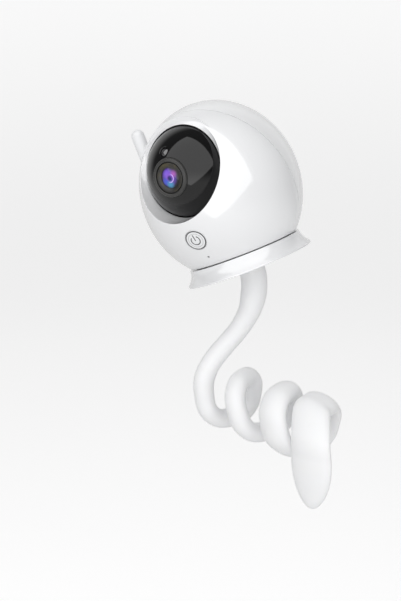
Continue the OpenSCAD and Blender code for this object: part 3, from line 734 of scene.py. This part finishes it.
def egg_cap(radius, lift, count=96, rows=14):
    """A disc that follows the egg's front, lift above it: depth at each point is the egg's own."""
    s = np.linspace(0.01, 1, rows)[:, None]
    a = np.linspace(0, 2 * math.pi, count, endpoint=False)
    x, z = radius * s * np.cos(a), radius * s * np.sin(a)
    return follow_egg(x, z, lift)


def button_way():
    """The direction straight out of the egg at the button's middle."""
    return on_front(np.array([[0, -1.0, 0]]), BUTTON_Z)[0] - np.array([0, egg_front(BUTTON_Z), BUTTON_Z])


def follow_egg(x, z, lift):
    """Points on the egg's front near the button, given in the button's own x and z: each goes out from
    its start until it meets the ellipsoid, the larger root of a quadratic, and then the lift further."""
    start = on_front(np.stack([x, np.full_like(x, 3.0), z], -1), BUTTON_Z)
    way = button_way()
    scale = np.array([EGG_R, EGG_R, EGG_H])
    p, w = start / scale, way / scale
    a, b, c = w @ w, 2 * (p @ w), (p * p).sum(-1) - 1
    t = (-b + np.sqrt(b * b - 4 * a * c)) / (2 * a)
    return start + (t + lift)[..., None] * way


def build_button():
    """The cap follows the egg, turns over its edge and goes straight in; the inks lie on it."""
    top = egg_cap(BUTTON_R, 0.0)
    way = button_way()
    spread = top[-1] - top[-1].mean(0)
    wider = np.array([0.0, 0.004, 0.004])[:, None, None]
    deeper = np.array([0.0, 0.2, BUTTON_DEPTH])[:, None, None]
    rim = top[-1][None] + spread * wider - way * deeper
    back = top[-1].mean(0) - way * BUTTON_DEPTH + spread * 0.02
    rows = np.concatenate([top[:-1], rim, back[None]])
    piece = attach(surface("button_cap", in_head(rows), WHITE_SATIN, caps=(True, True), sharp=30), "button")
    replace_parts(piece, "power_button")
    whole = np.radians(np.linspace(0, 360, 120, endpoint=False))
    ring_piece("button_ring", whole, DARK_RING_R, 0.3, True)
    ring_piece("button_ring_inner", whole, PALE_RING_R, 0.1, True, PALE_INK)
    ring_piece("power_ring", np.radians(np.linspace(126, 414, 72)), SIGN_R, SIGN_HALF, False)
    ribbon("power_bar", np.zeros(24), np.linspace(-0.2, 3.7, 24), SIGN_HALF, False)


def ring_piece(name, angles, radius, half, closed, ink=INK):
    """A thin printed line along a circle about the button's middle."""
    ribbon(name, radius * np.cos(angles), radius * np.sin(angles), half, closed, ink)


def ribbon(name, x, z, half, closed, ink=INK):
    """A flat line of ink 0.04 mm high that follows the egg's front: four edges carried along a path,
    each offset sideways by half its width along the path's own normal."""
    if closed:
        dx, dz = np.roll(x, -1) - np.roll(x, 1), np.roll(z, -1) - np.roll(z, 1)
    else:
        dx, dz = np.gradient(x), np.gradient(z)
    n = np.hypot(dx, dz)
    nx, nz = -dz / n, dx / n
    rows = [follow_egg(x + nx * half * s, z + nz * half * s, lift)
            for s, lift in ((1, -INK_ROOT), (1, INK_LIFT), (-1, INK_LIFT), (-1, -INK_ROOT))]
    grid = np.stack(rows, 1)
    piece = surface(name, in_head(grid), ink, loop=closed, caps=(not closed, not closed), sharp=30)
    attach(piece, "button")


build_button()


def build_microphone():
    """The microphone capsule, and a black plug that stands a little way into the hole as painted shade: it darkens
    the hole, where there is only shade.
    """
    # painted shade: the narrow part that fills the hole is a black stand-in for the shade inside it; the wide part
    # behind is the capsule
    outline = rounded([(0.02, -0.15), (0.61, -0.2), (0.61, -3.35), (2.0, -3.4), (2.0, -5.2), (0.02, -5.2)],
                      [0, 0.1, 0, 0.2, 0.2, 0], 5)
    points = in_head(on_front(lathe(outline, 48), MIC_Z))
    piece = surface("microphone_painted_shade_plug", points, BLACK_MATT, caps=(True, True))
    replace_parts(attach(piece, "head"), "microphone")


build_microphone()


# ---------------------------------------------------------------- antenna


def build_antenna():
    """A round rod with a half round tip; its foot sits on a round pivot hub and a short pin."""
    a = np.radians(np.linspace(0, 90, 20))
    cap = np.stack([ANTENNA_R * np.cos(a), ANTENNA_TOP - ANTENNA_R + ANTENNA_R * np.sin(a)], -1)
    cap[-1, 0] = 0.02
    z = np.linspace(ANTENNA_FOOT, ANTENNA_TOP - ANTENNA_R, 30)[:-1]
    outline = np.vstack([[(0.02, ANTENNA_FOOT)], np.stack([np.full_like(z, ANTENNA_R), z], -1), cap])
    rod = lathe_up(outline, 72) + [ANTENNA_X, 0, 0]
    outer = ANTENNA_X + ANTENNA_R + 0.4
    hub = rounded([(0.02, HUB_START), (HUB_R, HUB_START), (HUB_R, outer - 1.8), (4.6, outer), (0.02, outer)],
                  [0, 0.5, 1.6, 1.6, 0], 9)
    pin_end = HUB_START + 0.05
    pin = [(0.02, PIN_START), (PIN_R, PIN_START), (PIN_R, pin_end), (0.02, pin_end)]
    rod = in_head(turned(rod, "Z", ANTENNA_ANGLE))
    rod = surface("antenna_rod", rod, WHITE_SATIN, caps=(True, True), sharp=50)
    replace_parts(rod, "antenna")
    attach(rod, "antenna")
    for name, outline in (("antenna_hub", hub), ("antenna_pin", pin)):
        points = turned(turned(lathe(outline, 96), "Z", 90), "Z", ANTENNA_ANGLE)
        piece = surface(name, in_head(points), WHITE_SATIN, caps=(True, True), sharp=50)
        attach(piece, "antenna")


build_antenna()


# ---------------------------------------------------------------- arm


def ease(t):
    """3 t^2 - 2 t^3, held at 0 before 0 and at 1 after 1."""
    t = np.clip(t, 0, 1)
    return t * t * (3 - 2 * t)


def squircle(degrees):
    """A square with well rounded corners: cos and sin over their 2.6-norm."""
    c, s = np.cos(np.radians(degrees)), np.sin(np.radians(degrees))
    k = (np.abs(c) ** 2.6 + np.abs(s) ** 2.6) ** (-1 / 2.6)
    return c * k, s * k


def spline(points, steps):
    """A smooth curve through the points: steps parts between neighbours, each a cubic that leaves
    a point along the line between the points on either side of it."""
    p = np.asarray(points, float)
    n = len(p) - 1
    i = np.arange(n)[:, None]
    p0, p1, p2, p3 = p[np.maximum(i - 1, 0)], p[i], p[i + 1], p[np.minimum(i + 2, n)]
    t = (np.arange(steps) / steps)[None, :]
    if p.ndim > 1:
        t = t[..., None]
    out = 0.5 * (2 * p1 + (p2 - p0) * t + (2 * p0 - 5 * p1 + 4 * p2 - p3) * t ** 2
                 + (3 * p1 - p0 - 3 * p2 + p3) * t ** 3)
    out = out.reshape((n * steps,) + p.shape[1:])
    return np.concatenate([out, p[-1:]])


NECK_ROUTE = [(-33.8, 14, 81), (-31.6, 14.6, 75.5), (-30.1, 14, 69.5), (-29.4, 12.4, 62.5), (-30, 9.6, 53.5),
              (-33, 4, 43), (-37.8, -3, 33), (-42.2, -9.8, 23), (-44.4, -14, 12)]
NECK_HALF = [8.2, 8.1, 8, 7.9, 6.9, 6.2, 6.2, 6.3, 6.5]
TAIL_ROUTE = [(41.8, -16.2, 2), (43.2, -16.8, -9), (43.8, -16.8, -19), (44, -16.6, -27), (44.1, -16.4, -33),
              (44.2, -16.2, -37), (44.2, -16.1, -38.2)]
TAIL_HALF_W = [11.6, 12.4, 11.9, 9.8, 6.9, 3.6, 1.2]
TAIL_HALF_T = [4.8, 4.6, 4.4, 4.0, 3.4, 2.2, 0.8]
TAIL_TWIST = -10.0
SLIM = 0.988         # keeps the smooth sleeve inside the many-sided one it stands for


def build_arm():
    """One silicone sleeve: an ellipse carried along the route, its wide axis along the rail, thicker
    and rounder at the neck, flatter and wider over the last turn and the tail."""
    a = np.arange(180, 1201, 30)
    s = squircle(a)
    stray = 1.2 * ease((620 - a) / 200) + 3.4 * ease(1 - np.abs(a - 425) / 150) + 2.4 * ease((a - 960) / 200)
    coil = np.stack([COIL_PITCH * (a - 720) / 360 - stray, COIL_A * s[0], COIL_B * s[1]], -1)
    route = spline(np.vstack([NECK_ROUTE, coil, TAIL_ROUTE]), 8)
    half_w = spline(np.concatenate([NECK_HALF, 6.6 + 4.2 * ease((a - 640) / 400), TAIL_HALF_W]), 8) * SLIM
    half_t = spline(np.concatenate([NECK_HALF, 5.8 - 0.9 * ease((a - 700) / 500), TAIL_HALF_T]), 8) * SLIM
    twist = np.radians(spline(np.concatenate([np.zeros(len(NECK_ROUTE)), TAIL_TWIST * ease((a - 1060) / 100),
                                              np.full(len(TAIL_ROUTE), TAIL_TWIST)]), 8))
    way = np.gradient(route, axis=0)
    way /= np.linalg.norm(way, axis=1)[:, None]
    flat = np.array([1.0, 0, 0]) - way[:, :1] * way
    flat /= np.linalg.norm(flat, axis=1)[:, None]
    up = np.cross(way, flat)
    c, s = np.cos(twist)[:, None], np.sin(twist)[:, None]
    wide, thin = flat * c + up * s, up * c - flat * s
    k = np.linspace(0, 2 * math.pi, 64, endpoint=False)
    ring = route[:, None] + wide[:, None] * (half_w[:, None] * np.cos(k))[..., None] \
        + thin[:, None] * (half_t[:, None] * np.sin(k))[..., None]
    sleeve = surface("arm_skin", ring * MM, SILICONE, caps=(True, True), sharp=60)
    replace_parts(sleeve, "arm_sleeve", "neck_sleeve")
    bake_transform(sleeve)


build_arm()


# ---------------------------------------------------------------- stage, light and camera


def build_stage():
    """A pale floor well below the arm that curves up into a low wall all round: radius and height
    follow a quarter circle between the flat floor and the wall, turned about the Z axis."""
    f = Finish("studio floor")
    cloud = f.noise(1.2, 2.0)
    f.set(Base_Color=f.mix(cloud, (0.5, 0.5, 0.505), (0.53, 0.53, 0.53)), Roughness=0.9,
          Emission_Color=(1, 1, 1, 1), Emission_Strength=0.72)
    bend = np.radians(np.linspace(0, 90, 24))
    flat = np.linspace(0.05, FLOOR_R, 12)[:-1]
    wall = FLOOR_R + FLOOR_BEND
    radius = np.concatenate([flat, FLOOR_R + FLOOR_BEND * np.sin(bend), [wall]])
    height = np.concatenate([0 * flat, FLOOR_BEND - FLOOR_BEND * np.cos(bend), [2.0]]) + FLOOR_Z
    grid = lathe_up(np.stack([radius, height], -1)[::-1], 96)
    floor = surface("studio_floor", grid, f.material, caps=(False, True))
    floor.visible_glossy = floor.visible_diffuse = False


def softbox(name, place, target, width, height, watts):
    """A rectangular area light that faces its target."""
    light = bpy.data.lights.new(name, "AREA")
    light.shape, light.size, light.size_y, light.energy = "RECTANGLE", width, height, watts
    lamp = bpy.data.objects.new(name, light)
    bpy.context.scene.collection.objects.link(lamp)
    lamp.location = place
    lamp.rotation_euler = (Vector(target) - Vector(place)).to_track_quat("-Z", "Y").to_euler()
    return lamp


def seen(right, up, towards):
    """A place given along the camera's right, straight up and towards the camera, from the object."""
    view = math.radians(VIEW_TURN)
    x = Vector((math.cos(view), math.sin(view), 0))
    y = Vector((math.sin(view), -math.cos(view), 0))
    return Vector((0, 0, 0.09)) + x * right + y * towards + Vector((0, 0, up))


class Room(Finish):
    """The surroundings, whose nodes are made in the same way as a material's."""

    def __init__(self):
        self.material = bpy.context.scene.world = bpy.data.worlds.new("studio")
        self.material.use_nodes = True
        self.tree = self.material.node_tree
        self.shader = self.tree.nodes["Background"]


def build_world():
    """An even pale room: bright below the horizon and towards the backdrop, dim overhead and in
    front, with soft steps between, and plain pale where nothing else is seen."""
    f = Room()
    way = f.add("ShaderNodeTexCoord", {}, {}, "Generated")
    view = math.radians(VIEW_TURN)
    ground = f.step(f.along(way, (0, 0, 1)), -0.4, 0.15, WORLD_BRIGHT, WORLD_DIM)
    behind = f.along(way, (-math.sin(view), math.cos(view), 0))
    backdrop = f.step(behind, 0.3, 0.75, 0.0, WORLD_BRIGHT)
    first = f.add("ShaderNodeLightPath", {}, {}, "Is Camera Ray")
    f.set(Color=(1, 1, 1, 1), Strength=f.larger(f.larger(ground, backdrop), first * WORLD_SEEN))


def build_light():
    """A large soft window in front, above and to the left, tilted on its corner, and two soft helpers."""
    build_world()
    eye = seen(-0.045, 0.048, -0.027)
    key = softbox("key", seen(-0.439, 0.617, 0.725), seen(-0.229, 0.117, -0.115), 2.5, 2.1, 22)
    on_corner = Matrix.Rotation(math.radians(-40), 3, "Z")
    key.rotation_euler = (key.rotation_euler.to_matrix() @ on_corner).to_euler()
    softbox("side", seen(1.3, 0.4, 0.75), eye, 1.2, 1.2, 4.5).visible_glossy = False
    softbox("top", seen(0.1, 1.7, -0.1), eye, 1.6, 1.6, 5).visible_glossy = False
    bpy.context.scene.view_settings.view_transform = "Standard"


def build_camera():
    """A level camera that looks down a little, turned by its heading about the vertical."""
    data = bpy.data.cameras.new("camera")
    data.lens, data.sensor_width, data.sensor_fit = CAMERA_LENS, 36.0, "AUTO"
    data.clip_start, data.clip_end = 0.02, 30
    camera = bpy.data.objects.new("camera", data)
    bpy.context.scene.collection.objects.link(camera)
    camera.location = CAMERA_PLACE
    camera.rotation_euler = (math.radians(90 - VIEW_DOWN), 0, math.radians(VIEW_TURN))
    bpy.context.scene.camera = camera


build_stage()
build_light()
build_camera()
